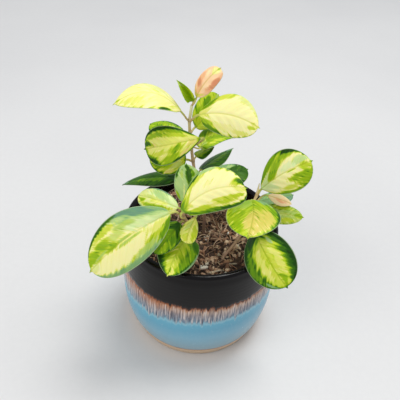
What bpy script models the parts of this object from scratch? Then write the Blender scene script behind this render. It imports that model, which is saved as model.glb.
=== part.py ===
"""A potted trailing wax plant with three-coloured leaves, in a round stoneware pot.

The pot stands on its flat foot at the origin, +Z is up and -Y is the front. Places and sizes in
this file are millimetres, and MM turns them into metres when a mesh is made.
"""
import math

import bmesh
import bpy
import numpy as np

MM = 0.001
GAP = 0.35                      # clearance between pieces that touch

# Pot: a turned bowl, widest a little below the middle of its height
POT_HEIGHT = 106.0
BELLY_RADIUS = 65.0
BELLY_HEIGHT = 44.0
RIM_RADIUS = 62.5               # outside of the wall just under the lip
LIP_RADIUS = 2.8                # the lip is a half round, so the wall is twice this
FOOT_RADIUS = 56.5
FOOT_ROUND = 4.0
FLOOR_HEIGHT = 9.0
INNER_CORNER = 14.0
SEGMENTS = 48                   # sides of the turned pot and of the soil that fills it

# Soil: fills the pot to a little under the rim, with a low crown and a lumpy top
SOIL_EDGE_HEIGHT = 95.0
SOIL_CROWN = 2.0
SOIL_LUMP = 0.7
SOIL_RINGS = 7

# Stems: each is a smooth line through its nodes, from its foot in the soil to its last node
STEM_RADIUS = 1.35
STEM_TIP_RADIUS = 1.0
NODE_SWELL = 1.25               # how much thicker a stem is where leaves leave it
STEM_STEPS = 3                  # stretches between two nodes
STEMS = {
    "tall": [(2, -8, 76), (2, -8, 90), (2, -7, 100), (1, -3, 122), (-3.5, -1, 140), (-7, -1, 151),
             (-9.7, 0, 164), (-11.5, 1, 176), (-13, 3, 186), (-13.7, 4, 195.5), (-12.6, 5, 208)],
    "right": [(17, -33, 76), (17, -33, 90), (19, -31, 98), (28, -24, 109), (34, -18, 122),
              (36.5, -11, 127), (38.5, -4, 131), (41, 0.5, 135.5), (42.5, 7, 142.5)],
    "left": [(-4, -13, 76), (-4, -13, 90), (-5, -17, 102), (-6.5, -25, 116), (-8.5, -30, 126),
             (-11, -34, 134.5), (-13, -37, 141), (-14, -39, 146)],
}
BURIED_NODES = 2                # points of each stem that lie under the soil's top

# Leaves: stem, node, blade from base to tip, width, turn of the blade about its length from
# facing straight up (degrees), rise of the arch and sideways sweep (shares of the length),
# outline powers towards base and tip, and colour
LEAF_THICKNESS = 1.3
PETIOLE_RADIUS = 1.0
PETIOLE_TIP_RADIUS = 0.5        # where it ends inside the blade, along the midrib
PETIOLE_RUN = 0.18              # share of the blade's length that it runs in
PETIOLE_STUB = 0.8              # straight stretch where it leaves the stem
BLADE_CELLS = 12
BLADE_CELLS_ACROSS = 4
BODY_END = 0.965                # the round blade ends here, and a short drip tip follows
DRIP_START = 0.90
DRIP_WIDTH = 0.16
EDGE_DROP = 0.16                # how far the margins hang below the midrib, as a share of width
LEAVES = [
    ("tall_01", "tall", 10, (-9.5, 4, 214.5), (5.5, 12, 233), 14.5, -25, 0.05, 0.05, (0.5, 0.38), "pink"),
    ("tall_02", "tall", 10, (-14.5, 5, 213), (-24, 8, 224), 13, 80, 0.03, -0.10, (0.45, 1.0), "lime"),
    ("tall_03", "tall", 9, (-7, 0, 203), (34, -14, 204), 29, -55, 0.05, 0.10, (0.62, 0.56), "cream"),
    ("tall_04", "tall", 9, (-20, 0, 205), (-65, -8, 210.5), 30, 5, 0.24, -0.04, (0.72, 0.68), "cream"),
    ("tall_05", "tall", 8, (-9.5, 10, 187), (6, 32, 203), 23, -55, 0.05, -0.04, (0.5, 0.45), "green"),
    ("tall_06", "tall", 7, (-5, 3, 174), (21, 22, 172), 19, -12, 0.04, 0.16, (0.45, 0.85), "green"),
    ("tall_07", "tall", 7, (-5, -8, 189), (-44, -14, 181), 27.5, 55, 0.06, 0.0, (0.95, 0.42), "cream"),
    ("tall_08", "tall", 8, (-19, 9, 177), (-45, 28, 176), 22, 10, 0.05, 0.0, (0.5, 0.6), "green"),
    ("tall_09", "tall", 6, (-15, 4, 162), (-43, 1, 164), 25, 55, 0.03, 0.0, (0.5, 0.5), "lime"),
    ("tall_10", "tall", 5, (-19, 6, 142), (-67, 18, 122), 18, 5, 0.08, 0.0, (0.5, 0.85), "dark"),
    ("tall_11", "tall", 5, (-3.5, 7, 151), (21, 28, 159), 22, 25, 0.02, 0.0, (0.5, 0.85), "dark"),
    ("tall_12", "tall", 4, (4, 12, 134), (35, 30, 138), 26, -10, 0.08, 0.0, (0.5, 0.55), "dark"),
    ("tall_13", "tall", 6, (-7.5, 3, 166), (5.5, 13, 169), 12, 5, 0.03, 0.0, (0.35, 0.9), "green"),
    ("left_01", "left", 6, (-14, -45, 153), (29, -38, 172), 30.5, -45, 0.05, 0.15, (0.64, 0.41), "cream"),
    ("left_02", "left", 7, (-13, -33, 150), (-14, -18, 175), 21, 10, 0.03, -0.08, (0.7, 0.6), "green"),
    ("left_03", "left", 6, (-17.5, -38, 150.5), (-47, -28, 151), 17, 30, 0.12, 0.01, (0.55, 0.42), "cream"),
    ("left_04", "left", 7, (-22, -48, 154), (-76.5, -68, 110.5), 39, 40, 0.04, -0.05, (0.65, 0.52), "cream"),
    ("left_05", "left", 5, (-5, -41, 144.5), (-10, -54.5, 132), 12.5, 10, 0.08, -0.05, (0.7, 0.42), "lime"),
    ("left_06", "left", 5, (-15.5, -41.5, 139.5), (-32, -60, 125), 17, 40, 0.05, 0.0, (0.5, 0.6), "dark"),
    ("left_07", "left", 3, (-9, -34, 121), (-22, -68, 112), 30, 20, 0.06, -0.05, (0.42, 0.6), "green"),
    ("right_01", "right", 7, (44, 2, 140.5), (78.5, 4, 169), 33.5, -50, 0.06, 0.05, (0.8, 0.56), "cream"),
    ("right_02", "right", 6, (50, 2, 134.5), (69.5, 0, 129), 10, -20, 0.02, 0.0, (0.6, 0.6), "pink"),
    ("right_03", "right", 7, (44, 8, 122.5), (73.5, 18, 124), 16, -5, 0.02, 0.0, (0.5, 0.5), "green"),
    ("right_04", "right", 5, (46, -4, 123), (79, -8, 123), 17, -30, 0.05, 0.0, (0.5, 0.6), "lime"),
    ("right_05", "right", 6, (37, -8, 136.5), (32, -50, 136.5), 40.5, -5, 0.05, 0.055, (0.42, 0.6), "cream"),
    ("right_06", "right", 4, (39, -36.5, 131), (65, -62.5, 102), 36.5, -45, 0.05, -0.03, (0.55, 0.5), "green"),
]
FOLDS = {"tall_02": 55, "tall_06": 22}  # degrees that each half is still folded up

COLOURS = {
    "glaze": (0.10, 0.20, 0.26),
    "soil": (0.045, 0.026, 0.018),
    "stem": (0.36, 0.27, 0.16),
    "cream": (0.72, 0.74, 0.28),
    "green": (0.13, 0.30, 0.05),
    "lime": (0.36, 0.46, 0.06),
    "dark": (0.03, 0.10, 0.02),
    "pink": (0.62, 0.30, 0.18),
}
ROUGHNESS = {"glaze": 0.18, "soil": 0.95, "stem": 0.6}
LEAF_ROUGHNESS = 0.35


def clear_scene():
    """Remove every object that the file starts with."""
    for thing in list(bpy.data.objects):
        bpy.data.objects.remove(thing, do_unlink=True)


def new_collection(name):
    group = bpy.data.collections.new(name)
    bpy.context.scene.collection.children.link(group)
    return group


def material(kind):
    """A plain Principled material in one of the plant's or the pot's colours."""
    if kind in bpy.data.materials:
        return bpy.data.materials[kind]
    made = bpy.data.materials.new(kind)
    made.use_nodes = True
    shader = made.node_tree.nodes["Principled BSDF"]
    shader.inputs["Base Color"].default_value = (*COLOURS[kind], 1.0)
    shader.inputs["Roughness"].default_value = ROUGHNESS.get(kind, LEAF_ROUGHNESS)
    shader.inputs["Metallic"].default_value = 0.0
    return made


def new_object(name, data, group, kind=None):
    made = bpy.data.objects.new(name, data)
    group.objects.link(made)
    if kind:
        data.materials.append(material(kind))
    return made


def evaluated_mesh(thing):
    """The mesh of an object with its modifiers, or of a curve with its bevel, as it stands."""
    bpy.context.view_layer.update()
    depsgraph = bpy.context.evaluated_depsgraph_get()
    return bpy.data.meshes.new_from_object(thing.evaluated_get(depsgraph))


def apply_modifiers(thing):
    baked = evaluated_mesh(thing)
    thing.modifiers.clear()
    thing.data = baked


def turned(name, profile, group, kind):
    """A body turned about Z from a profile of (radius, height), outer side running downwards."""
    mesh = bpy.data.meshes.new(name)
    points = [(radius * MM, 0.0, height * MM) for radius, height in profile]
    mesh.from_pydata(points, [(i, i + 1) for i in range(len(points) - 1)], [])
    made = new_object(name, mesh, group, kind)
    screw = made.modifiers.new("Screw", "SCREW")
    screw.angle = math.tau
    screw.steps = SEGMENTS
    screw.render_steps = SEGMENTS
    screw.use_merge_vertices = True
    screw.merge_threshold = 0.00001
    apply_modifiers(made)
    return made


def arc(centre, radius, start, end, steps):
    """Points on a circle round (radius, height) centre, from one angle to another in degrees."""
    angles = np.radians(np.linspace(start, end, steps + 1))
    return [(centre[0] + radius * math.cos(a), centre[1] + radius * math.sin(a)) for a in angles]


def outer_radius(height):
    """The pot's wall: a parabola up to the rim and a steeper one down to the foot."""
    if height >= BELLY_HEIGHT:
        share = (height - BELLY_HEIGHT) / (POT_HEIGHT - LIP_RADIUS - BELLY_HEIGHT)
        return BELLY_RADIUS - (BELLY_RADIUS - RIM_RADIUS) * share ** 2
    share = (BELLY_HEIGHT - height) / (BELLY_HEIGHT - FOOT_ROUND)
    return BELLY_RADIUS - (BELLY_RADIUS - FOOT_RADIUS) * share ** 2


def inner_radius(height):
    return outer_radius(height) - 2 * LIP_RADIUS


def inner_wall(clearance, top, steps):
    """The inside of the pot from the floor's centre up to a height, moved in by a clearance."""
    floor = FLOOR_HEIGHT + clearance
    corner_height = FLOOR_HEIGHT + INNER_CORNER
    corner_centre = (inner_radius(corner_height) - INNER_CORNER, corner_height)
    points = [(0.0, floor)]
    points += arc(corner_centre, INNER_CORNER - clearance, -90, 0, 4)
    heights = np.linspace(corner_height, top, steps + 1)[1:]
    points += [(inner_radius(h) - clearance, h) for h in heights]
    return points


def build_pot(group):
    """The pot: inside of the bowl, half-round lip, outside wall and flat foot in one profile."""
    wall_top = POT_HEIGHT - LIP_RADIUS
    profile = inner_wall(0.0, wall_top, 5)[:-1]
    profile += arc((RIM_RADIUS - LIP_RADIUS, wall_top), LIP_RADIUS, 180, 0, 6)
    profile += [(outer_radius(h), h) for h in np.linspace(wall_top, FOOT_ROUND, 11)[1:-1]]
    profile += arc((FOOT_RADIUS - FOOT_ROUND, FOOT_ROUND), FOOT_ROUND, 0, -90, 4)
    profile += [(0.0, 0.0)]
    pot = turned("pot", profile, group, "glaze")
    pot.data.shade_smooth()
    pot.data.set_sharp_from_angle(angle=math.radians(50))


def soil_top(x, y):
    """Height of the soil: a low crown with lumps from three crossed waves, in millimetres."""
    edge = inner_radius(SOIL_EDGE_HEIGHT)
    crown = SOIL_CROWN * (1 - (x ** 2 + y ** 2) / edge ** 2)
    waves = np.sin(0.31 * x + 1.0) * np.cos(0.27 * y) + np.sin(0.17 * x - 0.23 * y + 2.0)
    waves = waves + 0.6 * np.sin(0.55 * y + 0.4) * np.cos(0.49 * x - 0.8)
    return SOIL_EDGE_HEIGHT + crown + SOIL_LUMP * waves


def build_soil(group, cutters):
    """The soil plug, with its top raised by soil_top and a plain hole for each stem."""
    wall = inner_wall(GAP, SOIL_EDGE_HEIGHT, 4)
    edge = wall[-1][0]
    top = [(edge * i / SOIL_RINGS, SOIL_EDGE_HEIGHT + 1) for i in range(SOIL_RINGS)]
    soil = turned("soil", top + wall[::-1], group, "soil")
    places = np.empty(len(soil.data.vertices) * 3, dtype=np.float32)
    soil.data.vertices.foreach_get("co", places)
    places = places.reshape(-1, 3)
    raised = places[:, 2] > (SOIL_EDGE_HEIGHT - 1) * MM
    x, y = places[raised, 0] / MM, places[raised, 1] / MM
    places[raised, 2] = soil_top(x, y) * MM
    soil.data.vertices.foreach_set("co", places.ravel())
    for stem, nodes in STEMS.items():
        foot = np.array(nodes[0], float) - (0, 0, GAP)
        path = smooth_path([foot, *nodes[1:BURIED_NODES + 2]], STEM_STEPS)
        radii = np.full(len(path), NODE_SWELL * STEM_RADIUS + GAP)
        hole = tube(f"hole_{stem}", path, radii, 3, cutters)
        hole.hide_render = True
        hole.display_type = "WIRE"
    cut = soil.modifiers.new("Holes", "BOOLEAN")
    cut.operand_type = "COLLECTION"
    cut.collection = cutters
    cut.operation = "DIFFERENCE"
    cut.solver = "EXACT"


def smooth_path(nodes, steps):
    """Points of a Catmull-Rom curve through the nodes, with so many steps between two nodes."""
    nodes = np.array(nodes, float)
    ends = np.vstack([2 * nodes[0] - nodes[1], nodes, 2 * nodes[-1] - nodes[-2]])
    before, here, there, after = ends[:-3], ends[1:-2], ends[2:-1], ends[3:]
    t = (np.arange(steps) / steps)[None, :, None]
    before, here, there, after = (p[:, None, :] for p in (before, here, there, after))
    curve = 0.5 * (2 * here + (there - before) * t
                   + (2 * before - 5 * here + 4 * there - after) * t ** 2
                   + (3 * here - before - 3 * there + after) * t ** 3)
    return np.vstack([curve.reshape(-1, 3), nodes[-1]])


def tube(name, path, radii, resolution, group, kind=None):
    """A closed round tube along a path, with its own radius at each point, as a mesh."""
    curve = bpy.data.curves.new(name, "CURVE")
    curve.dimensions = "3D"
    curve.bevel_depth = MM
    curve.bevel_resolution = resolution
    curve.use_fill_caps = True
    spline = curve.splines.new("POLY")
    spline.points.add(len(path) - 1)
    rows = np.column_stack([np.array(path) * MM, np.ones(len(path))])
    spline.points.foreach_set("co", rows.ravel())
    spline.points.foreach_set("radius", np.array(radii, float))
    drawn = new_object(name + "_line", curve, group)
    mesh = evaluated_mesh(drawn)
    mesh.name = name
    weld = bmesh.new()
    weld.from_mesh(mesh)
    bmesh.ops.remove_doubles(weld, verts=weld.verts, dist=0.00001)
    weld.to_mesh(mesh)
    weld.free()
    made = new_object(name, mesh, group, kind)
    made.matrix_world = drawn.matrix_world
    bpy.data.objects.remove(drawn, do_unlink=True)
    return made


def stem_radius(share):
    """Stem radius by the share of its length from its foot to its last node."""
    return STEM_RADIUS + (STEM_TIP_RADIUS - STEM_RADIUS) * share


def build_stem(name, nodes, group):
    """A stem: a tapering tube, swollen where leaves leave it."""
    path = smooth_path(nodes, STEM_STEPS)
    radii = stem_radius(np.linspace(0, 1, len(path)))
    above = slice(STEM_STEPS * (BURIED_NODES + 1), None, STEM_STEPS)
    radii[above] *= NODE_SWELL
    stem = tube(f"stem_{name}", path, radii, 2, group, "stem")
    stem.data.shade_smooth()


def unit(vector):
    return vector / np.linalg.norm(vector)


def leaf_axes(base, tip, turn):
    """Length, and unit vectors along the blade, across it and out of its upper face."""
    along = unit(tip - base)
    level = unit(np.cross((0.0, 0.0, 1.0), along))
    upward = np.cross(along, level)
    angle = math.radians(turn)
    across = level * math.cos(angle) - upward * math.sin(angle)
    outward = upward * math.cos(angle) + level * math.sin(angle)
    return np.linalg.norm(tip - base), along, across, outward


def half_width(u, width, powers):
    """Half of the blade's width at a share u of its length.

    The body is u to one power times (1 - u) to another, scaled so that its widest place is the
    leaf's width, and a short straight drip tip runs out of its end.
    """
    towards_base, towards_tip = powers
    body = np.clip(u / BODY_END, 0, 1)
    widest = towards_base / (towards_base + towards_tip)
    peak = widest ** towards_base * (1 - widest) ** towards_tip
    round_part = body ** towards_base * (1 - body) ** towards_tip / peak
    drip = np.where(u > DRIP_START, DRIP_WIDTH * (1 - u) / (1 - DRIP_START), 0)
    return width / 2 * np.maximum(round_part, drip)


def blade_point(leaf, u, v):
    """Place on the middle surface of a blade.

    u runs from base to tip and v from -1 to 1 across. The midrib is a straight line that arches
    outwards and sweeps sideways by parabolas, and the margins hang below it by a parabola. In a
    folded leaf both halves stand up from the midrib.
    """
    name, _, _, base, tip, width, turn, arch, sweep, powers, _ = leaf
    base, tip = np.array(base, float), np.array(tip, float)
    length, along, across, outward = leaf_axes(base, tip, turn)
    u, v = np.broadcast_arrays(u, v)
    bow = 4 * u * (1 - u) * length
    side = v * half_width(u, width, powers)
    fold = math.radians(FOLDS.get(name, 0))
    lift = arch * bow - EDGE_DROP * side ** 2 / (width / 2) + np.abs(side) * math.sin(fold)
    spread = side * math.cos(fold) + sweep * bow
    return (base + (length * u)[..., None] * along + spread[..., None] * across
            + lift[..., None] * outward)


def petiole_path(leaf):
    """Line of a leaf's stalk: off the stem at its node, round to the blade and into its midrib."""
    _, stem, node, base, tip, *_ = leaf
    nodes = np.array(STEMS[stem], float)
    origin, base = nodes[node], np.array(base, float)
    grown = unit(nodes[min(node + 1, len(nodes) - 1)] - nodes[node - 1])
    away = base - origin
    away = unit(away - grown * (away @ grown))
    radius = stem_radius(node / (len(nodes) - 1)) * NODE_SWELL
    start = origin + away * (radius + GAP)
    stub = start + away * PETIOLE_STUB
    heading = blade_point(leaf, PETIOLE_RUN / 2, 0) - base
    reach = 0.35 * np.linalg.norm(base - stub)
    bend = [stub + away * reach, base - unit(heading) * reach]
    t = np.linspace(0, 1, 5)[:, None]
    stalk = ((1 - t) ** 3 * stub + 3 * (1 - t) ** 2 * t * bend[0]
             + 3 * (1 - t) * t ** 2 * bend[1] + t ** 3 * base)
    inside = blade_point(leaf, np.array([0.5, 1.0]) * PETIOLE_RUN, 0)
    return np.vstack([start, stalk, inside])


def build_leaf(leaf, group):
    """A leaf: a thin arched blade, joined with the stalk that holds it to the stem."""
    name, colour = f"leaf_{leaf[0]}", leaf[-1]
    grid = bmesh.new()
    bmesh.ops.create_grid(grid, x_segments=BLADE_CELLS, y_segments=BLADE_CELLS_ACROSS, size=1.0)
    flat = np.array([vertex.co for vertex in grid.verts])
    share = 0.5 - 0.5 * np.cos(np.pi * (flat[:, 0] + 1) / 2)
    for vertex, place in zip(grid.verts, blade_point(leaf, share, flat[:, 1]) * MM):
        vertex.co = place
    bmesh.ops.remove_doubles(grid, verts=grid.verts, dist=0.00001)
    mesh = bpy.data.meshes.new(name)
    grid.to_mesh(mesh)
    grid.free()
    blade = new_object(name, mesh, group, colour)
    blade.modifiers.new("Triangles", "TRIANGULATE")
    wall = blade.modifiers.new("Thickness", "SOLIDIFY")
    wall.thickness = LEAF_THICKNESS * MM
    wall.offset = 0.0
    path = petiole_path(leaf)
    radii = np.full(len(path), PETIOLE_RADIUS)
    radii[-1] = PETIOLE_TIP_RADIUS
    stalk = tube(name + "_stalk", path, radii, 1, group)
    join = blade.modifiers.new("Stalk", "BOOLEAN")
    join.operation = "UNION"
    join.object = stalk
    join.solver = "EXACT"
    apply_modifiers(blade)
    bpy.data.objects.remove(stalk, do_unlink=True)
    blade.data.shade_smooth()
    blade.data.set_sharp_from_angle(angle=math.radians(60))


def main():
    clear_scene()
    plant = new_collection("potted_wax_plant")
    cutters = new_collection("cutters")
    build_pot(plant)
    build_soil(plant, cutters)
    for name, nodes in STEMS.items():
        build_stem(name, nodes, plant)
    for leaf in LEAVES:
        build_leaf(leaf, plant)


main()
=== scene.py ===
"""Looks of a potted three-coloured wax plant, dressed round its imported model.

Lengths are millimetres, and MM turns them into metres where a mesh is made. The pot stands on its
foot at the origin, +Z is up and -Y is the front. Colours are written as they look, from 0 to 255.
"""
import math

import bpy
import numpy as np
from mathutils import Matrix, Vector


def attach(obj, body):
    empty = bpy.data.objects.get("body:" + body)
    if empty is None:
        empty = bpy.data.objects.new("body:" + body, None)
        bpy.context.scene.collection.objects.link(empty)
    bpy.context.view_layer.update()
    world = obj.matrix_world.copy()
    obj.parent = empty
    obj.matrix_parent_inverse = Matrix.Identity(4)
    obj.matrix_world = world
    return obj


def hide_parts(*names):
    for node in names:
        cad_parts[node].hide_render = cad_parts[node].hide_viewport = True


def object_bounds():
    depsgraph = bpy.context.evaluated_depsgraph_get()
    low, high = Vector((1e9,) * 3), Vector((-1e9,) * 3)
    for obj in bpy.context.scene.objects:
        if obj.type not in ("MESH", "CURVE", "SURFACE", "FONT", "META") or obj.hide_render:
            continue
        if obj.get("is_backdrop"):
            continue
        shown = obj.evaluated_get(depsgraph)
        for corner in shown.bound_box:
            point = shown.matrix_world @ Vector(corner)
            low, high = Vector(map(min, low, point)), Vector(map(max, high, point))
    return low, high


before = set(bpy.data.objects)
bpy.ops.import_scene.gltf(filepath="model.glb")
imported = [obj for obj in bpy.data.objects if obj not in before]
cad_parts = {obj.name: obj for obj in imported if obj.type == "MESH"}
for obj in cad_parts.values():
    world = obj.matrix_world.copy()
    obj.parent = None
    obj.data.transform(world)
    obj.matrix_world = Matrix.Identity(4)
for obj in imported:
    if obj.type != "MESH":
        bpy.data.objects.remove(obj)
cad_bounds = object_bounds()


# Pot: a stoneware bowl thrown on a wheel. A black-brown glaze covers its inside, lip and shoulder,
# and ran in the kiln in fine drips over the blue glaze of the wall. The foot was wiped bare, and
# the pot stands on it.
MM = 0.001
POT_HEIGHT = 106.0
BELLY_RADIUS = 65.0
BELLY_HEIGHT = 44.0
RIM_RADIUS = 62.5
LIP_RADIUS = 2.8
FOOT_RADIUS = 56.5
FOOT_ROUND = 4.0
FLOOR_HEIGHT = 9.0
INNER_CORNER = 14.0
POT_AROUND = 360
BLACK_EDGE = 75.0               # height at which the black glaze ends, between its drips
STREAK_EDGE = 56.0              # and where its thin run over the blue ends
BLUE_DEPTH = 16.0               # the bright blue's reach below that
BARE_EDGE = 12.0                # the blue glaze ends here, above the bare foot
GLAZE_THICKNESS = 0.35
RING_PITCH = 3.4                # the thrower's finger rings
RING_DEPTH = 0.02


def paint(red, green, blue):
    """A colour as it looks, turned into the linear values that a shader works in."""
    shown = np.array([red, green, blue]) / 255
    linear = np.where(shown > 0.04045, ((shown + 0.055) / 1.055) ** 2.4, shown / 12.92)
    return (*linear.tolist(), 1.0)


def smooth(value, low=0.0, high=1.0):
    """0 below low, 1 above high, and 3t^2 - 2t^3 of the share t between them."""
    share = np.clip((value - low) / (high - low), 0, 1)
    return share * share * (3 - 2 * share)


def placed(name, data):
    """A new object of a mesh, a lamp or a camera, in the scene."""
    made = bpy.data.objects.new(name, data)
    bpy.context.scene.collection.objects.link(made)
    return made


def skins(name, grids, material, **fields):
    """One smooth object of closed skins, each laid over rings of points.

    grids has the shape (skins, rings, points around, 3). Every ring closes on itself and is joined
    to the next one, and the first and last rings are single points. A field is an array over the
    same points, with one or three values each, and becomes an attribute of the mesh.
    """
    count, rings, around = grids.shape[:3]

    def each_point(values):
        values = np.broadcast_to(values, (count, rings, around, values.shape[-1]))
        body = values[:, 1:-1].reshape(count, -1, values.shape[-1])
        return np.concatenate([values[:, 0, :1], body, values[:, -1, :1]], axis=1)

    points = each_point(grids)
    last = points.shape[1] - 1
    here = np.arange(1, last).reshape(rings - 2, around)
    beside = np.roll(here, -1, axis=1)
    quads = np.stack([here[:-1], beside[:-1], beside[1:], here[1:]], axis=-1).reshape(-1, 4)
    start = np.stack([np.zeros(around, int), beside[0], here[0]], axis=-1)
    end = np.stack([here[-1], beside[-1], np.full(around, last)], axis=-1)
    triangles = np.concatenate([start, end])
    halves = np.concatenate([quads[:, :3], quads[:, [0, 2, 3]], triangles])
    first, second, third = (points[0][halves[:, k]] for k in range(3))
    if np.einsum("ij,ij->", first, np.cross(second, third)) < 0:
        quads, triangles = quads[:, ::-1], triangles[:, ::-1]
    offsets = (np.arange(count) * (last + 1))[:, None, None]
    corners = np.concatenate([(quads + offsets).ravel(), (triangles + offsets).ravel()])
    sizes = np.repeat([4, 3], [count * len(quads), count * len(triangles)])
    mesh = bpy.data.meshes.new(name)
    mesh.vertices.add(points.shape[0] * points.shape[1])
    mesh.vertices.foreach_set("co", (points * MM).astype(np.float32).ravel())
    mesh.loops.add(len(corners))
    mesh.loops.foreach_set("vertex_index", corners.astype(np.int32))
    mesh.polygons.add(len(sizes))
    mesh.polygons.foreach_set("loop_start", (np.cumsum(sizes) - sizes).astype(np.int32))
    mesh.update(calc_edges=True)
    mesh.shade_smooth()
    for field, values in fields.items():
        if values.ndim == 3:
            values = values[..., None]
        kind, slot = ("FLOAT", "value") if values.shape[-1] == 1 else ("FLOAT_VECTOR", "vector")
        data = mesh.attributes.new(field, kind, "POINT").data
        data.foreach_set(slot, each_point(values).astype(np.float32).ravel())
    mesh.materials.append(material)
    return placed(name, mesh)


def node(tree, kind, inputs=(), **settings):
    """A new shader node. inputs gives its sockets, by name or number, values or links."""
    made = tree.nodes.new("ShaderNode" + kind)
    for key, value in settings.items():
        setattr(made, key, value)
    for key, value in dict(inputs).items():
        if isinstance(value, bpy.types.NodeSocket):
            tree.links.new(value, made.inputs[key])
        else:
            made.inputs[key].default_value = value
    return made


def maths(tree, operation, *values):
    return node(tree, "Math", enumerate(values), operation=operation).outputs[0]


def product(tree, value, *others):
    for other in others:
        value = maths(tree, "MULTIPLY", value, other)
    return value


def nudged(tree, value, cause, share):
    """A value moved by a share of how far its cause, such as a noise, lies from a half."""
    return maths(tree, "MULTIPLY_ADD", maths(tree, "SUBTRACT", cause, 0.5), share, value)


def blend(tree, share, one, other, mode="MIX"):
    """Colour one where share is 0 and the other where it is 1."""
    inputs = {"Factor": share, 6: one, 7: other}
    return node(tree, "Mix", inputs, data_type="RGBA", blend_type=mode).outputs[2]


def cover(tree, below, colour, *shares):
    """A colour laid over the one below by a share, or by several that are multiplied."""
    return blend(tree, product(tree, *shares), below, paint(*colour))


def step(tree, value, low, high):
    """Smooth step of a value from 0 at low to 1 at high, which may be the lower one."""
    inputs = {"Value": value, "From Min": low, "From Max": high}
    return node(tree, "MapRange", inputs, interpolation_type="SMOOTHSTEP").outputs[0]


def bands(tree, value, stops):
    """Colours at values that rise, blended evenly in between."""
    low, high = stops[0][0], stops[-1][0]
    share = node(tree, "MapRange", {"Value": value, "From Min": low, "From Max": high}).outputs[0]
    ramp = node(tree, "ValToRGB", {0: share})
    for number, (place, colour) in enumerate(stops):
        share_there = (place - low) / (high - low)
        marks = ramp.color_ramp.elements
        mark = marks[number] if number < 2 else marks.new(share_there)
        mark.position = share_there
        mark.color = paint(*colour)
    return ramp.outputs[0]


def noise(tree, vector, scale, detail=2.0, roughness=0.5):
    """Noise of about 0.2 to 0.8 on a vector that is first multiplied by scale, which is a number,
    three of them or a link."""
    scale = (scale, scale, scale) if isinstance(scale, (int, float)) else scale
    place = node(tree, "VectorMath", {0: vector, 1: scale}, operation="MULTIPLY").outputs[0]
    inputs = {"Vector": place, "Scale": 1.0, "Detail": detail, "Roughness": roughness}
    return node(tree, "TexNoise", inputs).outputs[0]


def attribute(tree, name):
    return node(tree, "Attribute", attribute_name=name).outputs


def lead(tree, sockets, **values):
    """Links values to sockets by name, with an underscore for each space in it."""
    for label, value in values.items():
        tree.links.new(value, sockets[label.replace("_", " ")])


def new_material(name, **constants):
    """A material with an empty tree but for its Principled shader, and that shader."""
    made = bpy.data.materials.new(name)
    made.use_nodes = True
    shader = made.node_tree.nodes["Principled BSDF"]
    for socket, value in constants.items():
        shader.inputs[socket.replace("_", " ")].default_value = value
    return made, made.node_tree, shader


def new_group(name, inputs, outputs):
    """An empty shader node group, with the sockets of its input node and its output node."""
    group = bpy.data.node_groups.new(name, "ShaderNodeTree")
    for way, sockets in (("INPUT", inputs), ("OUTPUT", outputs)):
        for label, kind in sockets.items():
            group.interface.new_socket(label, in_out=way, socket_type="NodeSocket" + kind)
    taken = group.nodes.new("NodeGroupInput").outputs
    given = group.nodes.new("NodeGroupOutput").inputs
    return group, taken, given


def mottle_group():
    """Shared by the glaze, soil, stem and floor materials: soft blotches, fine grain, and both added up as
    a height.

    Scale is in blotches a metre. Stretch draws the blotches out along Z.
    """
    group, taken, given = new_group("mottle",
                                    {"Scale": "Float", "Stretch": "Float", "Grain": "Float"},
                                    {"Blotch": "Float", "Grain": "Float", "Height": "Float"})
    place = node(group, "TexCoord").outputs["Object"]
    upright = maths(group, "DIVIDE", taken["Scale"], taken["Stretch"])
    scale = {0: taken["Scale"], 1: taken["Scale"], 2: upright}
    scale = node(group, "CombineXYZ", scale).outputs[0]
    blotch = noise(group, place, scale, 3.0)
    grain = noise(group, place, product(group, taken["Scale"], taken["Grain"]), 2.0, 0.7)
    height = maths(group, "MULTIPLY_ADD", grain, 0.3, blotch)
    lead(group, given, Blotch=blotch, Grain=grain, Height=height)
    return group


MOTTLE = mottle_group()


def mottle(tree, scale, stretch, grain):
    inputs = {"Scale": scale, "Stretch": stretch, "Grain": grain}
    return node(tree, "Group", inputs, node_tree=MOTTLE).outputs


def bump(tree, shader, height, distance, strength):
    """Leads a height into the shader's normal; distance is in millimetres."""
    inputs = {"Height": height, "Distance": distance * MM, "Strength": strength}
    lead(tree, shader.inputs, Normal=node(tree, "Bump", inputs).outputs[0])


def wall_radius(height):
    """The pot's outside: one parabola from the belly up to the rim, one down to the foot."""
    upper = (height - BELLY_HEIGHT) / (POT_HEIGHT - LIP_RADIUS - BELLY_HEIGHT)
    lower = (BELLY_HEIGHT - height) / (BELLY_HEIGHT - FOOT_ROUND)
    drawn_in = np.where(height > BELLY_HEIGHT, (BELLY_RADIUS - RIM_RADIUS) * upper ** 2,
                        (BELLY_RADIUS - FOOT_RADIUS) * lower ** 2)
    return BELLY_RADIUS - drawn_in


def inner_radius(height):
    return wall_radius(height) - 2 * LIP_RADIUS


def inner_corner():
    """Centre of the quarter round between the pot's floor and its wall, as (radius, height)."""
    height = FLOOR_HEIGHT + INNER_CORNER
    return float(inner_radius(height)) - INNER_CORNER, height


def arc(centre, radius, start, end, steps):
    """Points of (radius, height) on a circle, from one angle to another in degrees."""
    angle = np.radians(np.linspace(start, end, steps))[:, None]
    return np.array(centre) + radius * np.hstack([np.cos(angle), np.sin(angle)])


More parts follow.
